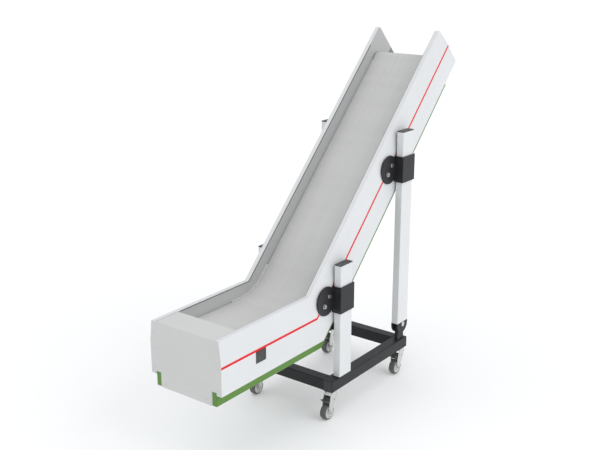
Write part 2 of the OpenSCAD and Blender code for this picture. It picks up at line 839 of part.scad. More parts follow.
module castor_fork(at) {
    crown_r = 27;
    outer = fork_gap + leg_t;
    axle = [-trail, wheel_d / 2];
    color([0.80, 0.80, 0.79]) from_nose() translate([at[0], at[1], 0]) {
        difference() {
            union() {
                for (y = [-outer, fork_gap])
                    upright(y, y + leg_t) fork_leg();
                intersection() {
                    translate([0, 0, crown_top - crown_t]) cylinder(r = crown_r, h = crown_t);
                    translate([-crown_r, -outer, crown_top - crown_t])
                        cube([2 * crown_r, 2 * outer, crown_t]);
                }
            }
            translate([0, 0, crown_top - crown_t - cut])
                cylinder(r = stem_r + running, h = crown_t + 2 * cut);
            across(axle, axle_r, -outer - cut, outer + cut);
            across([pedal_x, pedal_z], pedal_pin_r + running, -outer - cut, outer + cut);
        }
        across(axle, axle_r, -outer, outer);
        for (y = [-outer - 4, outer])
            translate([axle[0], y + 4, axle[1]]) rotate([90, 0, 0])
                cylinder(r = axle_r * 1.7, h = 4, $fn = 6);
    }
}

// A rim with a hub as wide as the fork, bored for the axle.
module castor_rim(at) {
    rim_r = wheel_d / 2 - tyre_depth;
    hub_r = 12;
    web = 5;
    half_hub = fork_gap - fit_gap;
    half_rim = tyre_width / 2;
    bore = axle_r + running;
    color([0.92, 0.92, 0.91]) from_nose()
        translate([at[0] - trail, at[1], wheel_d / 2]) rotate([90, 0, 0])
            rotate_extrude()
                polygon([
                    [bore, -half_hub], [hub_r, -half_hub], [hub_r, -web], [rim_r - 4, -web],
                    [rim_r - 4, -half_rim], [rim_r, -half_rim], [rim_r, half_rim],
                    [rim_r - 4, half_rim], [rim_r - 4, web], [hub_r, web],
                    [hub_r, half_hub], [bore, half_hub]
                ]);
}

module castor_tyre(at) {
    rim_r = wheel_d / 2 - tyre_depth;
    half = tyre_width / 2;
    shoulder = 4;
    color([0.37, 0.375, 0.37]) from_nose()
        translate([at[0] - trail, at[1], wheel_d / 2]) rotate([90, 0, 0])
            rotate_extrude()
                polygon([
                    [rim_r, -half], [wheel_d / 2 - shoulder, -half],
                    [wheel_d / 2, -half + shoulder * 1.5], [wheel_d / 2, half - shoulder * 1.5],
                    [wheel_d / 2 - shoulder, half], [rim_r, half]
                ]);
}

// A foot pedal hinged between the legs, with a shoe over the tyre.
module castor_pedal(at) {
    barrel_r = 7;
    half = fork_gap - 0.5;
    tip = -52;
    color([0.12, 0.12, 0.125]) from_nose() translate([at[0], at[1], 0]) {
        upright(-half, half) {
            difference() {
                translate([pedal_x, pedal_z]) circle(barrel_r);
                translate([pedal_x, pedal_z]) circle(pedal_pin_r);
            }
            polygon([
                [pedal_x - 5, pedal_z + 4.8], [pedal_x - 5, pedal_z - 4.8],
                [pedal_x - 28, pedal_z - 12], [pedal_x - 38, pedal_z - 12],
                [pedal_x + tip, pedal_z], [pedal_x + tip - 8, pedal_z + 8],
                [pedal_x + tip - 6, pedal_z + 10], [pedal_x + tip + 3, pedal_z + 4.8]
            ]);
        }
        across([pedal_x, pedal_z], pedal_pin_r, -fork_gap - leg_t - 1, fork_gap + leg_t + 1);
    }
}

module castor_fork_front_right() castor_fork(FRONT_RIGHT);
module castor_fork_front_left() castor_fork(FRONT_LEFT);
module castor_fork_rear_right() castor_fork(REAR_RIGHT);
module castor_fork_rear_left() castor_fork(REAR_LEFT);
module castor_rim_front_right() castor_rim(FRONT_RIGHT);
module castor_rim_front_left() castor_rim(FRONT_LEFT);
module castor_rim_rear_right() castor_rim(REAR_RIGHT);
module castor_rim_rear_left() castor_rim(REAR_LEFT);
module castor_tyre_front_right() castor_tyre(FRONT_RIGHT);
module castor_tyre_front_left() castor_tyre(FRONT_LEFT);
module castor_tyre_rear_right() castor_tyre(REAR_RIGHT);
module castor_tyre_rear_left() castor_tyre(REAR_LEFT);
module castor_pedal_front_right() castor_pedal(FRONT_RIGHT);
module castor_pedal_front_left() castor_pedal(FRONT_LEFT);
module castor_pedal_rear_right() castor_pedal(REAR_RIGHT);
module castor_pedal_rear_left() castor_pedal(REAR_LEFT);

base_rail_right();
base_rail_left();
base_cross_front();
base_cross_rear();
front_column_right();
front_column_left();
front_column_caps();
rear_foot_lugs();
rear_foot_pins();
castor_mounts();
front_clamp_right();
front_clamp_left();
front_clamp_screws();
rear_clamp_right();
rear_clamp_left();
rear_clamp_screws();
rear_column_right();
rear_column_left();
rear_column_caps();
rear_feet();
side_panel_right();
side_panel_left();
side_stripes();
green_rail_right();
green_rail_left();
front_cover();
sheet_screws();
infeed_hood();
slider_bed();
bed_cross_bars();
bottom_guard();
belt();
hold_down_guides();
idler_shafts();
take_up_blocks();
take_up_screws();
drum_shaft();
drum_motor();
drum_brackets();
pivot_bolts();
access_plug();
tail_roller();
drive_drum();
return_roller();
castor_fork_front_right();
castor_rim_front_right();
castor_tyre_front_right();
castor_pedal_front_right();
castor_fork_front_left();
castor_rim_front_left();
castor_tyre_front_left();
castor_pedal_front_left();
castor_fork_rear_right();
castor_rim_rear_right();
castor_tyre_rear_right();
castor_pedal_rear_right();
castor_fork_rear_left();
castor_rim_rear_left();
castor_tyre_rear_left();
castor_pedal_rear_left();
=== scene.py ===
# %% [markdown]
# # A swan-neck belt conveyor on a wheeled stand
# The machine is a folded sheet-metal trough with a flat infeed and a steep climb. A belt runs over a slider
# bed in it. Two pairs of clamps hold it on box-section columns, over a base frame on four braked castors.
# The measured frame already has every part at its real size and place. These cells give the parts the
# rounded folds, turned profiles, welds, screws and finishes that make them look made and not drawn.
# %% The frame
import json
import math

import bmesh
import bpy
from mathutils import Matrix, Vector


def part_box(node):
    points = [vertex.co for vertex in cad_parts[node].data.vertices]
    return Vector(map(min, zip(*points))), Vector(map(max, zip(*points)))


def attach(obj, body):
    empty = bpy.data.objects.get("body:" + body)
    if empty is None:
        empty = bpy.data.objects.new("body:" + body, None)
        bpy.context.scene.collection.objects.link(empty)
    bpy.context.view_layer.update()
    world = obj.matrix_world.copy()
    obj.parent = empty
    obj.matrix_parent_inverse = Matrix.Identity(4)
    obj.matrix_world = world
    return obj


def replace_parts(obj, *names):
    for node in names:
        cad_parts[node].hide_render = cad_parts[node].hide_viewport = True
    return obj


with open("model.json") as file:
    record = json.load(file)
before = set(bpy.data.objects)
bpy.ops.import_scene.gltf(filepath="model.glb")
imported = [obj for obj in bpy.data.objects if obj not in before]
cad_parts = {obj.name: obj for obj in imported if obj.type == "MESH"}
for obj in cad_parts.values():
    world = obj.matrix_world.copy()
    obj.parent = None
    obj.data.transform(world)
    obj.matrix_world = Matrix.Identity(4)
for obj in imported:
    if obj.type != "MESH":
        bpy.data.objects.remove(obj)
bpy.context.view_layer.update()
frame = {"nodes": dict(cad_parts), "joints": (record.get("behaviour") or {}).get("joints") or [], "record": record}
record = frame["record"]
BODY_OF = {node: body for body, nodes in record["behaviour"]["bodies"].items() for node in nodes}
SLOT_OF = {part["node"]: part["material_slot"] for part in record["subparts"]}
JOINTS = {joint["name"]: joint for joint in frame["joints"]}
CORNERS = [name[len("swivel_"):] for name in JOINTS if name.startswith("swivel_")]
SIDES = {"right": -1, "left": 1}
print("CAD nodes:", len(BODY_OF), "castors:", CORNERS)

# %% [markdown]
# ## The lines of the machine
# Nearly everything on the machine is set out from one bent line: the top edge of the side panels. It runs
# level from the nose to the bend, then climbs at the angle between the two pivots. A place is easiest to give
# as a distance along that line and a depth square to it, so two short functions turn those into points.
# %% Setting out
MM = 0.001
ALONG_Y = Vector((0, 1, 0))
TIP_RADIUS = 12 * MM
front_pivot = Vector(JOINTS["tilt"]["pos_m"])
rear_pivot = Vector(JOINTS["rear_clamp_pivot"]["pos_m"])
slope = math.atan2(rear_pivot.z - front_pivot.z, rear_pivot.x - front_pivot.x)
UPHILL = Vector((math.cos(slope), 0, math.sin(slope)))
INTO_CLIMB = Vector((math.sin(slope), 0, -math.cos(slope)))
panel_low, panel_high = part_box("side_panel_right")
nose_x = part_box("front_cover")[0].x
flange_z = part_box("infeed_hood")[1].z
panel_height = flange_z - panel_low.z
half_body = -panel_low.y
climb_len = (panel_high.z - flange_z - TIP_RADIUS * (1 - UPHILL.x)) / UPHILL.z + TIP_RADIUS
bend_x = (
    panel_high.x - TIP_RADIUS
    - (climb_len - TIP_RADIUS) * UPHILL.x
    - (panel_height - TIP_RADIUS) * INTO_CLIMB.x
)


def on_climb(run, depth, y):
    """A point so far up the climb from the bend, and so deep below the top edge."""
    return Vector((bend_x, y, flange_z)) + UPHILL * run + INTO_CLIMB * depth


def on_infeed(run, depth, y):
    """A point so far from the nose along the infeed, and so deep below the top edge."""
    return Vector((nose_x + run, y, flange_z - depth))


def at_bend(depth, y):
    """The point where the infeed and the climb meet, at one depth."""
    return Vector((bend_x + depth * math.tan(slope / 2), y, flange_z - depth))


print(f"slope {math.degrees(slope):.1f} deg, infeed {bend_x - nose_x:.3f} m, climb {climb_len:.3f} m")

# %% [markdown]
# ## The camera and the studio
# The machine is seen from a little above, ahead of the infeed and to its right. A long lens from about five
# metres keeps the uprights upright. The light is that of a white studio: the whole room glows, with one broad
# light from the right that models the folds. A sun lamp with a wide angle is that light, because it falls
# evenly on the floor too. The Standard view keeps paint colours as they are mixed, where a filmic view greys
# the whites and the red.
# %% Camera
CAMERA_AT = (-3.677, -2.656, 2.300)
CAMERA_LOOK = Vector((0.7637, 0.5755, -0.2924))
LENS_MM = 56.4

camera_data = bpy.data.cameras.new("studio_camera")
camera_data.lens = LENS_MM
camera_data.sensor_width = 36
camera = bpy.data.objects.new("studio_camera", camera_data)
camera.location = CAMERA_AT
camera.rotation_euler = CAMERA_LOOK.to_track_quat("-Z", "Y").to_euler()
bpy.context.scene.collection.objects.link(camera)
bpy.context.scene.camera = camera
print("camera at", CAMERA_AT, "lens", LENS_MM)

# %% Lights
ROOM_GLOW = 0.78
KEY_LIGHT = 0.9
TOP_LIGHT = 0.5


def sun(name, towards, strength, spread):
    """A soft sun lamp that shines from a direction."""
    lamp = bpy.data.lights.new(name, "SUN")
    lamp.energy = strength
    lamp.angle = math.radians(spread)
    holder = bpy.data.objects.new(name, lamp)
    holder.rotation_euler = Vector(towards).to_track_quat("Z", "Y").to_euler()
    bpy.context.scene.collection.objects.link(holder)
    print(name, strength)


sun("key_light", (0.15, -0.9, 0.55), KEY_LIGHT, 50)
sun("top_light", (-0.3, 0.2, 1.0), TOP_LIGHT, 70)
room = bpy.data.worlds.new("studio_room")
bpy.context.scene.world = room
room.use_nodes = True
room.node_tree.nodes["Background"].inputs["Color"].default_value = (0.97, 0.985, 1.0, 1)
room.node_tree.nodes["Background"].inputs["Strength"].default_value = ROOM_GLOW
bpy.context.scene.view_settings.view_transform = "Standard"

# %% [markdown]
# ## Writing finishes as sums
# A shader graph drawn by hand is hard to read as code. Here a Signal wraps one output of a node, and adding
# or multiplying signals adds the Math nodes, so a worn paint reads as a sum of its causes. A Finish holds one
# material, and its node method adds any other node: the settings are made first, then the sockets are filled.
# %% Signals and finishes
class Signal:
    """One output of a shader node. Arithmetic on it adds Math nodes."""

    def __init__(self, finish, socket):
        self.finish = finish
        self.socket = socket

    def maths(self, operation, *values):
        return self.finish.node("ShaderNodeMath", {"operation": operation}, dict(enumerate(values)))

    def __add__(self, other):
        return self.maths("ADD", self, other)

    def __sub__(self, other):
        return self.maths("SUBTRACT", self, other)

    def __rsub__(self, other):
        return self.maths("SUBTRACT", other, self)

    def __mul__(self, other):
        return self.maths("MULTIPLY", self, other)

    __radd__ = __add__
    __rmul__ = __mul__

    def between(self, low, high):
        """0 below low, 1 above high, and smooth in between."""
        return self.finish.node(
            "ShaderNodeMapRange", {"interpolation_type": "SMOOTHSTEP"},
            {"Value": self, "From Min": low, "From Max": high},
        )


class Finish:
    """A material with its Principled shader, and the ways to build what feeds it."""

    def __init__(self, name, roughness, **constants):
        self.material = bpy.data.materials.new(name)
        self.material.use_nodes = True
        self.tree = self.material.node_tree
        self.shader = self.tree.nodes["Principled BSDF"]
        self.shader.inputs["Roughness"].default_value = roughness
        for socket, value in constants.items():
            self.shader.inputs[socket.replace("_", " ").title().replace("Ior", "IOR")].default_value = value

    def node(self, kind, settings=None, sockets=None, out=0):
        made = self.tree.nodes.new(kind)
        for setting, value in (settings or {}).items():
            setattr(made, setting, value)
        for socket, value in (sockets or {}).items():
            if isinstance(value, Signal):
                self.tree.links.new(value.socket, made.inputs[socket])
            else:
                made.inputs[socket].default_value = value
        return Signal(self, made.outputs[out])

    def place(self, scale=(1, 1, 1), turn=(0, 0, 0)):
        """Object coordinates, scaled and turned."""
        coords = self.node("ShaderNodeTexCoord", out="Object")
        return self.node("ShaderNodeMapping", {}, {"Vector": coords, "Scale": scale, "Rotation": turn})

    def noise(self, scale, stretch=(1, 1, 1), detail=2.0, turn=(0, 0, 0)):
        """A cloud of values round a half. A stretch below 1 draws it out along that axis."""
        return self.node(
            "ShaderNodeTexNoise", {},
            {"Vector": self.place(stretch, turn), "Scale": scale, "Detail": detail},
        )

    def axis(self, letter):
        """One of the object coordinates, in metres."""
        return self.node("ShaderNodeSeparateXYZ", {}, {"Vector": self.place()}, out=letter)

    def blend(self, factor, first, second):
        """A colour between two, by a factor."""
        pad = lambda colour: colour if isinstance(colour, Signal) else (*colour, 1)
        return self.node(
            "ShaderNodeMix", {"data_type": "RGBA"}, {0: factor, 6: pad(first), 7: pad(second)}, out=2
        )

    def feed(self, **signals):
        """Links signals to the shader's colour or roughness."""
        names = {"colour": "Base Color", "roughness": "Roughness"}
        for name, signal in signals.items():
            self.tree.links.new(signal.socket, self.shader.inputs[names[name]])

    def bump(self, height, depth):
        """Height, from 0 to 1, raises the surface by up to depth."""
        raised = self.node("ShaderNodeBump", {}, {"Height": height, "Distance": depth, "Strength": 1.0})
        self.tree.links.new(raised.socket, self.shader.inputs["Normal"])


def shade(colour, by):
    """A colour made darker or lighter by a factor."""
    return tuple(min(1.0, channel * by) for channel in colour)


print("signals and finishes ready")

# %% [markdown]
# ## Powder coat
# Most of the machine is powder coated. Powder melts into a hard, even film with a faint orange-peel texture a
# few millimetres across, and its sheen varies slightly where the film is thicker. Handling leaves pale rubs. An
# image could hold all of this, but noise in Object coordinates has no seams and
# keeps its real scale on every part.
# %% Powder coat
FINISHES = {}
SIDE_DEPTH = 36 * MM
INNER_SKIN = half_body - SIDE_DEPTH
# Painted shade: faces nearer the middle than this band are painted a darker grey, the shade inside the trough.
TROUGH_SHADE_EDGE = (INNER_SKIN + 1 * MM, INNER_SKIN + 3 * MM)


def powder_coat(slot, colour, roughness, peel=0.00006, rubs=0.0, rub_colour=(0.5, 0.5, 0.5), trough_shade=None,
                sheen=0.5):
    """Baked powder coat with orange peel, an uneven sheen, rubs, and painted shade: a darker grey inside the
    trough.
    """
    coat = Finish(slot, roughness, specular_ior_level=sheen)
    cloud = coat.noise(3.5, detail=4)
    film = coat.noise(22)
    fine = coat.noise(420, detail=1)
    uneven = (cloud - 0.5) * 0.9 + (film - 0.5) * 0.5 + 0.5
    tone = coat.blend(uneven, shade(colour, 0.955), shade(colour, 1.035))
    # Painted shade: inside the trough the coat is blended to a darker grey.
    if trough_shade:
        across = coat.axis("Y")
        outside = across.maths("ABSOLUTE", across).between(*TROUGH_SHADE_EDGE)
        tone = coat.blend(outside, trough_shade, tone)
    streaks = coat.noise(60, stretch=(0.25, 0.25, 1), detail=6)
    worn = streaks.between(0.63, 0.74) * cloud.between(0.45, 0.62) * rubs
    coat.feed(
        colour=coat.blend(worn, tone, rub_colour),
        roughness=roughness + (cloud - 0.5) * 0.14 + (fine - 0.5) * 0.10 + worn * 0.15,
    )
    coat.bump(fine + film * 1.5, peel)
    FINISHES[slot] = coat.material
    print("powder coat:", slot)


# The panel's darker grey inside the trough is painted shade.
powder_coat("panel_paint", (0.69, 0.70, 0.71), 0.36, rubs=0.12, rub_colour=(0.62, 0.63, 0.64),
            trough_shade=(0.46, 0.465, 0.46))
powder_coat("column_paint", (0.70, 0.71, 0.72), 0.38, rubs=0.20, rub_colour=(0.60, 0.61, 0.62))
powder_coat("cover_paint", (0.60, 0.60, 0.59), 0.42, rubs=0.15, rub_colour=(0.54, 0.54, 0.54))
powder_coat("green_paint", (0.091, 0.223, 0.026), 0.40, rubs=0.25, rub_colour=(0.22, 0.36, 0.12))
powder_coat("black_paint", (0.022, 0.022, 0.024), 0.42, peel=0.00010, rubs=0.45, rub_colour=(0.13, 0.13, 0.13),
            sheen=0.25)

# %% [markdown]
# ## Bare and plated metal
# Rollers, the slider bed and the small hardware are zinc plated or bright steel. Plating shows a grain from
# the rolled sheet underneath and soft cloudy patches. Turned and drawn parts have finer, tighter marks. Both
# are one recipe with different stretch and strength: the grain feeds roughness most, because it is the sheen
# that shows it, and the colour only a little.
# %% Metals
def metal(slot, colour, roughness, grain=(0.04, 1, 1), grain_scale=240, cloudy=0.10, stain=0.15):
    """Plated or bright steel with a grain, cloudy patches and a little tarnish."""
    steel = Finish(slot, roughness, metallic=1.0)
    lines = steel.noise(grain_scale, stretch=grain, detail=3)
    patches = steel.noise(28, detail=4)
    tarnish = steel.noise(9, detail=6).between(0.55, 0.75) * stain
    tone = steel.blend((lines - 0.5) * 0.7 + 0.5, shade(colour, 0.90), shade(colour, 1.06))
    steel.feed(
        colour=steel.blend(tarnish, tone, shade(colour, 0.62)),
        roughness=roughness + (lines - 0.5) * 0.22 + (patches - 0.5) * cloudy + tarnish * 0.3,
    )
    steel.bump(lines, 0.00003)
    FINISHES[slot] = steel.material
    print("metal:", slot)


metal("zinc_steel", (0.66, 0.67, 0.68), 0.40, cloudy=0.30)
metal("bright_steel", (0.62, 0.62, 0.62), 0.26, grain_scale=500)
metal("dark_steel", (0.14, 0.14, 0.15), 0.42, stain=0.3)
metal("fork_steel", (0.70, 0.70, 0.69), 0.34, grain=(1, 1, 0.2), grain_scale=160, cloudy=0.2)

# %% [markdown]
# ## Plastics and rubber
# Moulded plastic has a spark-eroded grain from its mould, the same all over and not directional. Tyre rubber
# is the same kind of surface, duller, with dust in the grain and scuffs on the tread. One recipe makes them
# all, and only colour, grain and dust change.
# %% Moulded parts
def moulded(slot, colour, roughness, grain=0.00005, dust=0.0, dust_colour=(0.4, 0.39, 0.37)):
    """Moulded plastic or rubber with an eroded grain, and dust that lies in it."""
    part = Finish(slot, roughness, specular_ior_level=0.45)
    grit = part.noise(900, detail=2)
    cloud = part.noise(14, detail=4)
    smear = part.noise(70, detail=5)
    dusty = smear.between(0.42, 0.72) * cloud.between(0.35, 0.65) * dust
    tone = part.blend(cloud, shade(colour, 0.90), shade(colour, 1.10))
    part.feed(
        colour=part.blend(dusty, tone, dust_colour),
        roughness=roughness + (grit - 0.5) * 0.15 + dusty * 0.2 + (cloud - 0.5) * 0.08,
    )
    part.bump(grit, grain)
    FINISHES[slot] = part.material
    print("moulded:", slot)


moulded("black_plastic", (0.032, 0.032, 0.034), 0.45, dust=0.15)
moulded("guide_plastic", (0.62, 0.62, 0.61), 0.50)
moulded("rim_plastic", (0.74, 0.74, 0.72), 0.42, dust=0.15, dust_colour=(0.5, 0.49, 0.46))
moulded("tyre_rubber", (0.105, 0.107, 0.105), 0.62, grain=0.00010, dust=0.45, dust_colour=(0.22, 0.215, 0.205))
moulded("pedal_plastic", (0.045, 0.045, 0.048), 0.44, dust=0.12)

# %% [markdown]
# ## The stripe
# The red line along each side is cut vinyl film. It is smoother and glossier than the powder coat under it,
# with a clear top layer, so the light breaks on it differently. A thin coat with its own low roughness gives
# that second, sharper reflection.
# %% Stripe film
film = Finish("red_stripe", 0.35, coat_weight=0.12, coat_roughness=0.12, specular_ior_level=0.25)
tension = film.noise(18, stretch=(1, 1, 3), detail=3)
film.feed(
    colour=film.blend(tension, (0.68, 0.004, 0.010), (0.74, 0.006, 0.013)),
    roughness=0.30 + tension * 0.12,
)
film.bump(film.noise(140, detail=2), 0.00002)
FINISHES["red_stripe"] = film.material
print("stripe film ready")

# %% [markdown]
# ## The belt's face
# A food-grade conveyor belt is a coated fabric. The coating is matt, and the weave under it prints through as
# a fine regular grain. Goods rub it along its travel, which leaves faint streaks. Slightly lighter and darker
# bands across it are painted light and shade. The weave is two crossed waves, the streaks are noise drawn out
# along the run, and the painted shade bands are noise drawn out across it.
# %% Belt face
belt_face = Finish("belt_rubber", 0.62, specular_ior_level=0.35)
along_run = belt_face.axis("X") * math.cos(slope / 2) + belt_face.axis("Z") * math.sin(slope / 2)
across_run = belt_face.axis("Y")
THREAD = 2 * math.pi / (1.6 * MM)
warp = along_run * THREAD
weft = across_run * THREAD
weave = warp.maths("SINE", warp) * weft.maths("SINE", weft)
streaks = belt_face.noise(55, stretch=(0.03, 1, 0.03), detail=4)
# Painted light and shade: lighter and darker bands across the belt.
bars = belt_face.noise(16, stretch=(1, 0.02, 1), detail=3)
blotches = belt_face.noise(5, detail=4)
# Real rub streaks and blotches, mixed with the painted light and shade bands.
wear_and_shade_bands = (streaks - 0.5) * 0.8 + (bars - 0.5) * 0.9 + (blotches - 0.5) * 0.7 + 0.5
belt_face.feed(
    colour=belt_face.blend(wear_and_shade_bands, (0.52, 0.52, 0.51), (0.60, 0.60, 0.59)),
    roughness=0.58 + (streaks - 0.5) * 0.16 + (blotches - 0.5) * 0.10,
)
belt_face.bump(weave * 0.5 + belt_face.noise(700, detail=1), 0.00008)
FINISHES["belt_rubber"] = belt_face.material
for node, cad in frame["nodes"].items():
    cad.data.materials.clear()
    cad.data.materials.append(FINISHES[SLOT_OF[node]])
print("finishes:", len(FINISHES))

# %% [markdown]
# ## From measured solid to made part
# A CAD mesh is loose triangles with knife edges. A real folded or sawn part has a radius on every edge, and
# that thin bright line of light is what makes metal look like metal. Each visible part is therefore a copy of
# the measured solid: its triangles are merged back into flat faces, its edges are beveled by the radius that
# its process gives, and its normals are weighted so that the flats stay flat. The size and place can't drift,
# because a bevel only takes material off.
# %% Merging, rounding and placing
SMALLEST = 0.00001


def merged(*nodes):
    """A bmesh of CAD nodes, with their loose triangles merged into flat faces."""
    shape = bmesh.new()
    for node in nodes:
        shape.from_mesh(frame["nodes"][node].data)
    bmesh.ops.remove_doubles(shape, verts=shape.verts, dist=SMALLEST)
    bmesh.ops.dissolve_limit(shape, angle_limit=math.radians(0.5), verts=shape.verts, edges=shape.edges)
    return shape


def edges_where(shape, test, sharper=25):
    """The edges between two faces that turn by more than an angle and pass a test."""
    turn = math.radians(sharper)
    return [
        edge for edge in shape.edges
        if len(edge.link_faces) == 2 and edge.calc_face_angle() > turn and test(edge)
    ]


def rounded(shape, edges, radius, steps=3):
    """Rounds edges off by a radius."""
    bmesh.ops.bevel(
        shape, geom=edges, offset=radius, segments=steps, profile=0.5, affect="EDGES",
        clamp_overlap=True, material=-1,
    )


def as_piece(name, shape, like, slot=None, smooth=38):
    """Makes a bmesh an object that rides with a CAD node and takes its finish, or another slot's."""
    mesh = bpy.data.meshes.new(name)
    shape.to_mesh(mesh)
    shape.free()
    mesh.shade_smooth()
    mesh.set_sharp_from_angle(angle=math.radians(smooth))
    made = bpy.data.objects.new(name, mesh)
    bpy.context.scene.collection.objects.link(made)
    mesh.materials.clear()
    mesh.materials.append(FINISHES[slot or SLOT_OF[like]])
    weights = made.modifiers.new("flat_faces", "WEIGHTED_NORMAL")
    weights.keep_sharp = True
    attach(made, BODY_OF[like])
    print(f"{name}: {len(mesh.polygons)} faces")
    return made


def solids(node):
    """The separate solids of a CAD node, as (lowest corner, highest corner)."""
    shape = merged(node)
    found = []
    seen = set()
    for start in shape.verts:
        if start in seen:
            continue
        seen.add(start)
        group = [start]
        for vert in group:
            for edge in vert.link_edges:
                other = edge.other_vert(vert)
                if other not in seen:
                    seen.add(other)
                    group.append(other)
        corners = [vert.co for vert in group]
        low = Vector(min(corner[i] for corner in corners) for i in range(3))
        high = Vector(max(corner[i] for corner in corners) for i in range(3))
        found.append((low, high))
    shape.free()
    return found


def softened(node, radius, steps=2, test=lambda edge: True, sharper=25):
    """Replaces a CAD node by the same part with its edges rounded."""
    shape = merged(node)
    rounded(shape, edges_where(shape, test, sharper), radius, steps)
    made = as_piece(node + "_made", shape, node)
    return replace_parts(made, node)


# %% [markdown]
# ## Folded side panels
# Each side panel is one long sheet, folded at the bottom lip, at the lean and at the top flange, with the inner
# skin folded down from it. A press brake leaves a radius of about the sheet's thickness outside each fold, and
# the cut rims are only deburred. So the wide folds get the big radius, and the rims get a small one. What
# tells them apart is the width of the faces beside the edge: beside a rim, one face is only the sheet's
# thickness.
# %% Side panels
FOLD_RADIUS = 2.6 * MM
RIM_RADIUS = 0.7 * MM
THIN_FACE = 5 * MM


def narrowest(edge):
    """The width of the narrower of the two faces beside an edge."""
    widths = []
    for face in edge.link_faces:
        longest = max(side.calc_length() for side in face.edges)
        widths.append(face.calc_area() / longest)
    return min(widths)


def is_fold(edge):
    """True on a long edge between two wide faces."""
    return edge.calc_length() > 60 * MM and narrowest(edge) > THIN_FACE


def folded(node, fold=FOLD_RADIUS, rim=RIM_RADIUS):
    """Replaces a CAD node of sheet metal by one with pressed folds and deburred rims."""
    shape = merged(node)
    rounded(shape, edges_where(shape, is_fold), fold, 3)
    rims = edges_where(shape, lambda edge: edge.calc_length() > 4 * MM and narrowest(edge) <= THIN_FACE, 60)
    rounded(shape, rims, rim, 1)
    made = as_piece(node + "_made", shape, node)
    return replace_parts(made, node)


for side in SIDES:
    folded(f"side_panel_{side}")
    folded(f"green_rail_{side}")
folded("infeed_hood")

# %% [markdown]
# ## Box-section tube
# The columns and the base are cold-formed tube: its long corners have a radius of about one and a half walls
# outside, and its sawn ends are sharp. The outer long corners are found by their place on the part's own box,
# so the same function serves upright columns and level rails.
# %% Columns and base
COLUMN_CORNER = 4.5 * MM
BASE_CORNER = 5 * MM


def on_box(edge, low, high, axis):
    """True if an edge runs along an axis at an outer corner of the box."""
    run = (edge.verts[1].co - edge.verts[0].co).normalized()
    if abs(run[axis]) < 0.999:
        return False
    middle = (edge.verts[0].co + edge.verts[1].co) / 2
    others = [i for i in range(3) if i != axis]
    return all(min(abs(middle[i] - low[i]), abs(high[i] - middle[i])) < 0.2 * MM for i in others)


def tube(node, axis, outer):
    """Replaces a CAD node of box-section tube by one with formed corners."""
    low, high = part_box(node)
    shape = merged(node)
    rounded(shape, edges_where(shape, lambda edge: on_box(edge, low, high, axis)), outer, 4)
    rounded(shape, edges_where(shape, lambda edge: narrowest(edge) < 4 * MM, 60), 0.5 * MM, 1)
    made = as_piece(node + "_made", shape, node)
    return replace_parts(made, node)


for side in SIDES:
    tube(f"front_column_{side}", 2, COLUMN_CORNER)
    tube(f"rear_column_{side}", 2, COLUMN_CORNER)
    tube(f"base_rail_{side}", 0, BASE_CORNER)
for end in ("front", "rear"):
    tube(f"base_cross_{end}", 1, BASE_CORNER)

# %% [markdown]
# ## Clamps, feet and caps
# These are thick plates and blocks, sawn or flame cut and then dressed, so every edge has a small even radius.
# %% Clamps, feet and caps
PLATE_RADIUS = 1.6 * MM
CAP_RADIUS = 1.8 * MM
COVER_RADIUS = 0.5 * MM
BELT_RADIUS = 0.6 * MM
PRESSED_RADIUS = 1.0 * MM
TYRE_RADIUS = 4.0 * MM
for side in SIDES:
    softened(f"front_clamp_{side}", PLATE_RADIUS)
    softened(f"rear_clamp_{side}", PLATE_RADIUS)
softened("rear_feet", PLATE_RADIUS)
softened("rear_foot_lugs", PLATE_RADIUS)
softened("front_column_caps", CAP_RADIUS, 3)
softened("rear_column_caps", CAP_RADIUS, 3)
softened("front_cover", COVER_RADIUS, 1)
softened("belt", BELT_RADIUS, 2, sharper=50)
for corner in CORNERS:
    softened(f"castor_fork_{corner}", PRESSED_RADIUS)
    softened(f"castor_rim_{corner}", PRESSED_RADIUS)
    softened(f"castor_tyre_{corner}", TYRE_RADIUS, 4)
    softened(f"castor_pedal_{corner}", PLATE_RADIUS, 3)

# %% [markdown]
# ## Small hardware
# Bolts, pins, screws and blocks are turned, cropped or moulded, and even the smallest has a broken edge that
# catches the light. Only edges sharper than a facet of a round part are rounded, so shafts stay round.
# %% Small hardware
HARDWARE_RADIUS = 0.5 * MM
HARDWARE = (
    "pivot_bolts", "rear_foot_pins", "front_clamp_screws", "rear_clamp_screws", "access_plug",
    "castor_mounts", "take_up_blocks", "drum_brackets", "bottom_guard",
)
for node in HARDWARE:
    softened(node, HARDWARE_RADIUS, 2, sharper=50)

# %% [markdown]
# ## Rods, nuts and beads
# A round bar, a hexagon nut, a weld bead and a strip of painted seam shadow are one shape: a straight bar of some
# number of sides between two points. A drawn bar like this needs no profile, only its ends.
# %% Bars between two points
def bar(shape, start, end, radius, sides=12):
    """Adds a straight bar with a round or cornered section."""
    run = end - start
    turn = run.to_track_quat("Z", "Y").to_matrix().to_4x4()
    bmesh.ops.create_cone(
        shape, cap_ends=True, cap_tris=False, segments=sides, radius1=radius, radius2=radius,
        depth=run.length, matrix=Matrix.Translation((start + end) / 2) @ turn,
    )


print("bars ready")


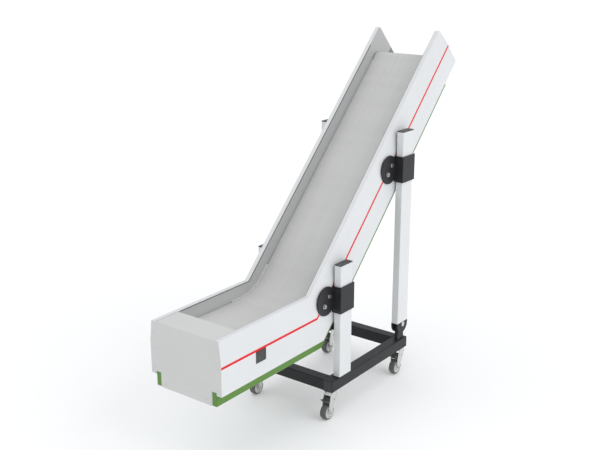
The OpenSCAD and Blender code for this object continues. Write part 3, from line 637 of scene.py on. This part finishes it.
# %% [markdown]
# ## Seam shadow strips
# A thin dark strip along the joint between each top flange and the inner skin is painted shade: the shadow in
# the narrow seam there. It runs from the hood to the bend and up almost to the tips.
# %% Seam shadow strips
# Painted shade: a thin dark strip stands for the shadow in the seam under each top flange.
SEAM_SHADOW_R = 1.3 * MM
SEAM_SHADOW_FROM_NOSE = 160 * MM
SEAM_SHADOW_FROM_TIP = 130 * MM
for side, sign in SIDES.items():
    y = sign * (INNER_SKIN - SEAM_SHADOW_R)
    seam_shadow_strips = bmesh.new()
    bar(seam_shadow_strips, on_infeed(SEAM_SHADOW_FROM_NOSE, 2 * SEAM_SHADOW_R, y), at_bend(2 * SEAM_SHADOW_R, y), SEAM_SHADOW_R, 8)
    bar(seam_shadow_strips, at_bend(2 * SEAM_SHADOW_R, y), on_climb(climb_len - SEAM_SHADOW_FROM_TIP, 2 * SEAM_SHADOW_R, y), SEAM_SHADOW_R, 8)
    as_piece(f"seam_shadow_strip_{side}", seam_shadow_strips, f"side_panel_{side}", "black_plastic")

# %% [markdown]
# ## Sockets in the pivot bolts
# The pivot bolts are driven by a hexagon key, so each bright head has a six-sided hole in its middle, dark with
# shade. At this size a thin dark hexagon set into the head is painted shade that stands for the hole.
# %% Bolt socket shade
SOCKET_R = 4.2 * MM
SOCKET_SHOWS = 0.15 * MM
SOCKET_SUNK = 1 * MM
# Painted shade: dark hexagons stand for the shade inside the socket holes.
sockets = bmesh.new()
for low, high in solids("pivot_bolts"):
    middle = (low + high) / 2
    sign = math.copysign(1, middle.y)
    face = max(abs(low.y), abs(high.y))
    bar(
        sockets, Vector((middle.x, sign * (face - SOCKET_SUNK), middle.z)),
        Vector((middle.x, sign * (face + SOCKET_SHOWS), middle.z)), SOCKET_R, 6,
    )
as_piece("bolt_socket_shades", sockets, "pivot_bolts", "dark_steel")

# %% [markdown]
# ## Plugs in the base tubes
# Open tube ends fill with dirt and cut hands, so a moulded plug closes each one. It is a block with a rounded
# rim that sits just inside the walls.
# %% Base tube plugs
TUBE_WALL = 3 * MM
PLUG_GAP = 0.3 * MM
PLUG_LEN = 10 * MM
PLUG_SET_IN = 0.5 * MM
PLUG_RADIUS = 1.5 * MM
for side in SIDES:
    low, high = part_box(f"base_rail_{side}")
    plugs = bmesh.new()
    inset = TUBE_WALL + PLUG_GAP
    size = (PLUG_LEN, high.y - low.y - 2 * inset, high.z - low.z - 2 * inset)
    for x in (low.x + PLUG_SET_IN + PLUG_LEN / 2, high.x - PLUG_SET_IN - PLUG_LEN / 2):
        middle = Vector((x, (low.y + high.y) / 2, (low.z + high.z) / 2))
        bmesh.ops.create_cube(plugs, size=1, matrix=Matrix.Translation(middle) @ Matrix.Diagonal((*size, 1)))
    rounded(plugs, list(plugs.edges), PLUG_RADIUS, 3)
    as_piece(f"base_plugs_{side}", plugs, f"base_rail_{side}", "black_plastic")

# %% [markdown]
# ## Axle bolts
# Each castor wheel turns on a bolt through the fork. Outside each cheek there is a washer, then the head on
# one side and the nut on the other, with the bolt's end standing out of the nut.
# %% Axle bolts
WASHER_T = 1.2 * MM
WASHER_R = 8.5 * MM
NUT_R = 6.5 * MM
BOLT_R = 3.6 * MM
AXLE_ZONE = 14 * MM
BREAK_EDGE = 0.3 * MM
NUT_T = 5 * MM
BOLT_END = 1.5 * MM
for corner in CORNERS:
    fork = f"castor_fork_{corner}"
    axle = Vector(JOINTS[f"roll_{corner}"]["pos_m"])
    near = [
        vert.co.y for vert in frame["nodes"][fork].data.vertices
        if math.hypot(vert.co.x - axle.x, vert.co.z - axle.z) < AXLE_ZONE
    ]
    bolts = bmesh.new()
    for sign, reach in ((-1, min(near)), (1, max(near))):
        out = ALONG_Y * sign
        face = Vector((axle.x, reach, axle.z))
        bar(bolts, face, face + out * WASHER_T, WASHER_R, 32)
        bar(bolts, face + out * WASHER_T, face + out * (WASHER_T + NUT_T), NUT_R, 6)
        if sign > 0:
            bar(bolts, face + out * NUT_T, face + out * (WASHER_T + NUT_T + BOLT_END), BOLT_R, 20)
    rounded(bolts, edges_where(bolts, lambda edge: True, 50), BREAK_EDGE, 1)
    as_piece(f"axle_bolts_{corner}", bolts, fork, "zinc_steel")

# %% [markdown]
# ## Weld beads
# The front columns are welded to the base rails all round. A fillet weld leaves a low, rounded bead in the
# corner, coated with the rest of the base.
# %% Weld beads
WELD = 2.2 * MM
for side in SIDES:
    low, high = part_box(f"front_column_{side}")
    welds = bmesh.new()
    ring = [Vector((x, y, low.z + WELD / 2)) for x, y in
            ((low.x, low.y), (high.x, low.y), (high.x, high.y), (low.x, high.y))]
    for start, end in zip(ring, ring[1:] + ring[:1]):
        bar(welds, start, end, WELD, 12)
    as_piece(f"column_welds_{side}", welds, f"base_rail_{side}")

# %% [markdown]
# ## The floor
# A plain pale floor, wide enough that it fills the picture from the main camera. It glows faintly, which
# lifts it to white and leaves the soft shadows under the stand.
# %% Floor
FLOOR_DARK = (0.86, 0.865, 0.87)
FLOOR_PALE = (0.88, 0.885, 0.89)
FLOOR_HALF = 60
FLOOR_GLOW = 0.12
floor_paint = Finish("studio_floor", 0.8, emission_strength=FLOOR_GLOW)
floor_cloud = floor_paint.noise(2, detail=3)
floor_paint.feed(colour=floor_paint.blend(floor_cloud, FLOOR_DARK, FLOOR_PALE))
floor_shape = bmesh.new()
bmesh.ops.create_grid(floor_shape, x_segments=4, y_segments=4, size=FLOOR_HALF)
floor_mesh = bpy.data.meshes.new("studio_floor")
floor_shape.to_mesh(floor_mesh)
floor_shape.free()
floor_mesh.materials.append(floor_paint.material)
floor = bpy.data.objects.new("studio_floor", floor_mesh)
bpy.context.scene.collection.objects.link(floor)
print("floor ready")
